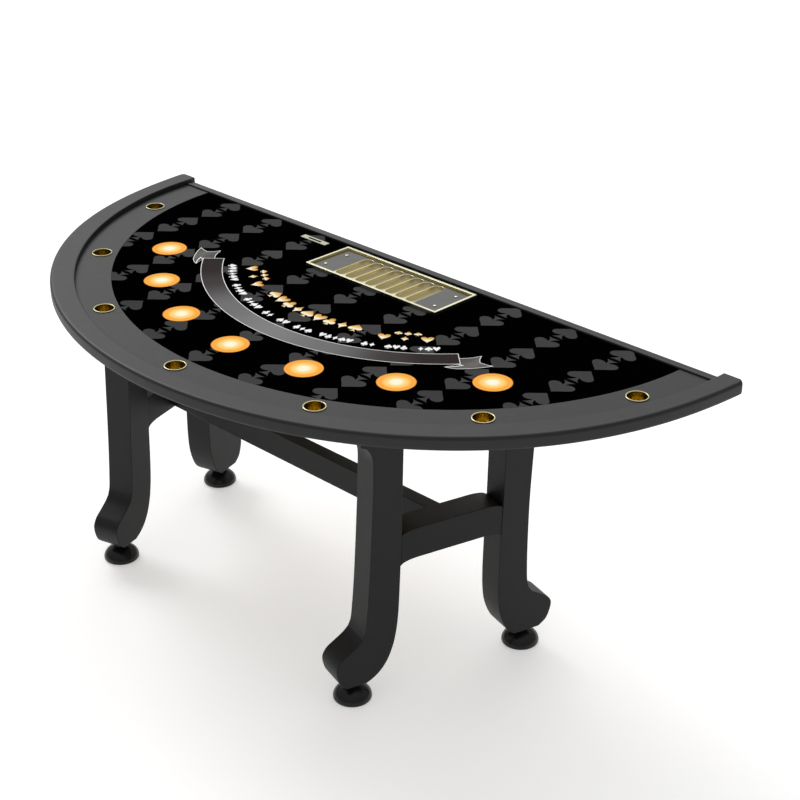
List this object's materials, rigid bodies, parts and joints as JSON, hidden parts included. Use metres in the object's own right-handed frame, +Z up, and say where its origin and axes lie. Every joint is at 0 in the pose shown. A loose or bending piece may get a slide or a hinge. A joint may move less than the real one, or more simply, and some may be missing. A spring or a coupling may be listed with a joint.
{
  "type": "blackjack table",
  "caption": "D-shaped card game table with raised arm rail, cup holder ledge, black cloth layout, sunken chip tray, drop slot and two splayed wooden trestles on levelling feet.",
  "frame": {"origin": "on the floor under the middle of the table's bounding box", "axes": "+X along the dealer's straight edge, +Y towards the dealer, +Z up"},
  "size_m": [2.3758, 1.1145, 0.928],
  "materials": {
    "black_lacquer": "satin black lacquer",
    "grey_lacquer": "satin dark grey lacquer",
    "plywood": "sanded",
    "cloth": "printed speed cloth",
    "foam": "matt",
    "cup_brass": "polished",
    "frame_brass": "polished",
    "tray_metal": "polished, gold anodised troughs",
    "foot_black": "gloss",
    "box_paint": "powder coat",
    "steel": "zinc plated"
  },
  "bodies": {
    "table": {"top_deck": "plywood", "foam_underlay": "foam", "felt_layout": "cloth", "racetrack_ledge": "grey_lacquer", "arm_rail": "grey_lacquer", "dealer_edge_strip": "grey_lacquer", "chip_tray_surround": "frame_brass", "drop_slot_plate": "frame_brass", "drop_box_runner_left": "steel", "drop_box_runner_right": "steel", "middle_stretcher": "black_lacquer", "cross_rail_front": "black_lacquer", "cross_rail_rear": "black_lacquer", "side_stretcher_left": "black_lacquer", "top_bearer_left": "black_lacquer", "bearer_screw_left_1": "steel", "bearer_screw_left_2": "steel", "leg_front_left": "black_lacquer", "foot_insert_front_left": "steel", "leg_rear_left": "black_lacquer", "foot_insert_rear_left": "steel", "side_stretcher_right": "black_lacquer", "top_bearer_right": "black_lacquer", "bearer_screw_right_1": "steel", "bearer_screw_right_2": "steel", "leg_front_right": "black_lacquer", "foot_insert_front_right": "steel", "leg_rear_right": "black_lacquer", "foot_insert_rear_right": "steel", "rail_plate_1": "steel", "rail_plate_2": "steel", "rail_plate_3": "steel", "rail_plate_4": "steel", "rail_plate_5": "steel", "rail_plate_6": "steel"},
    "cup_1": {"cup_holder_1": "cup_brass"},
    "cup_2": {"cup_holder_2": "cup_brass"},
    "cup_3": {"cup_holder_3": "cup_brass"},
    "cup_4": {"cup_holder_4": "cup_brass"},
    "cup_5": {"cup_holder_5": "cup_brass"},
    "cup_6": {"cup_holder_6": "cup_brass"},
    "cup_7": {"cup_holder_7": "cup_brass"},
    "chip_tray": {"chip_tray_insert": "tray_metal", "tray_screw_1": "steel", "tray_screw_2": "steel", "tray_screw_3": "steel", "tray_screw_4": "steel"},
    "drop_box": {"drop_box": "box_paint", "drop_box_hinge_pin": "steel"},
    "drop_door": {"drop_box_door": "box_paint"},
    "drop_lock": {"drop_box_lock": "steel"},
    "foot_front_left": {"levelling_foot_front_left": "foot_black"},
    "foot_rear_left": {"levelling_foot_rear_left": "foot_black"},
    "foot_front_right": {"levelling_foot_front_right": "foot_black"},
    "foot_rear_right": {"levelling_foot_rear_right": "foot_black"}
  },
  "joints": [
    {"name": "cup_1_lift", "type": "slide", "parent": "table", "child": "cup_1", "axis": [0, 0, 1], "range_m": [0, 0.08]},
    {"name": "cup_2_lift", "type": "slide", "parent": "table", "child": "cup_2", "axis": [0, 0, 1], "range_m": [0, 0.08]},
    {"name": "cup_3_lift", "type": "slide", "parent": "table", "child": "cup_3", "axis": [0, 0, 1], "range_m": [0, 0.08]},
    {"name": "cup_4_lift", "type": "slide", "parent": "table", "child": "cup_4", "axis": [0, 0, 1], "range_m": [0, 0.08]},
    {"name": "cup_5_lift", "type": "slide", "parent": "table", "child": "cup_5", "axis": [0, 0, 1], "range_m": [0, 0.08]},
    {"name": "cup_6_lift", "type": "slide", "parent": "table", "child": "cup_6", "axis": [0, 0, 1], "range_m": [0, 0.08]},
    {"name": "cup_7_lift", "type": "slide", "parent": "table", "child": "cup_7", "axis": [0, 0, 1], "range_m": [0, 0.08]},
    {"name": "chip_tray_lift", "type": "slide", "parent": "table", "child": "chip_tray", "axis": [0, 0, 1], "range_m": [0, 0.06]},
    {"name": "drop_box_slide", "type": "slide", "parent": "table", "child": "drop_box", "axis": [0, 1, 0], "range_m": [0, 0.11]},
    {"name": "drop_door_hinge", "type": "hinge", "parent": "drop_box", "child": "drop_door", "pos_m": [-0.49, 0.5355, 0.755], "axis": [0, 0, 1], "range_deg": [0, 105]},
    {"name": "drop_lock_turn", "type": "hinge", "parent": "drop_door", "child": "drop_lock", "pos_m": [-0.359, 0.536, 0.76], "axis": [0, 1, 0], "range_deg": [0, 90]},
    {"name": "foot_front_left_screw", "type": "slide", "parent": "table", "child": "foot_front_left", "axis": [0, 0, -1], "range_m": [0, 0.012]},
    {"name": "foot_rear_left_screw", "type": "slide", "parent": "table", "child": "foot_rear_left", "axis": [0, 0, -1], "range_m": [0, 0.012]},
    {"name": "foot_front_right_screw", "type": "slide", "parent": "table", "child": "foot_front_right", "axis": [0, 0, -1], "range_m": [0, 0.012]},
    {"name": "foot_rear_right_screw", "type": "slide", "parent": "table", "child": "foot_rear_right", "axis": [0, 0, -1], "range_m": [0, 0.012]}
  ]
}
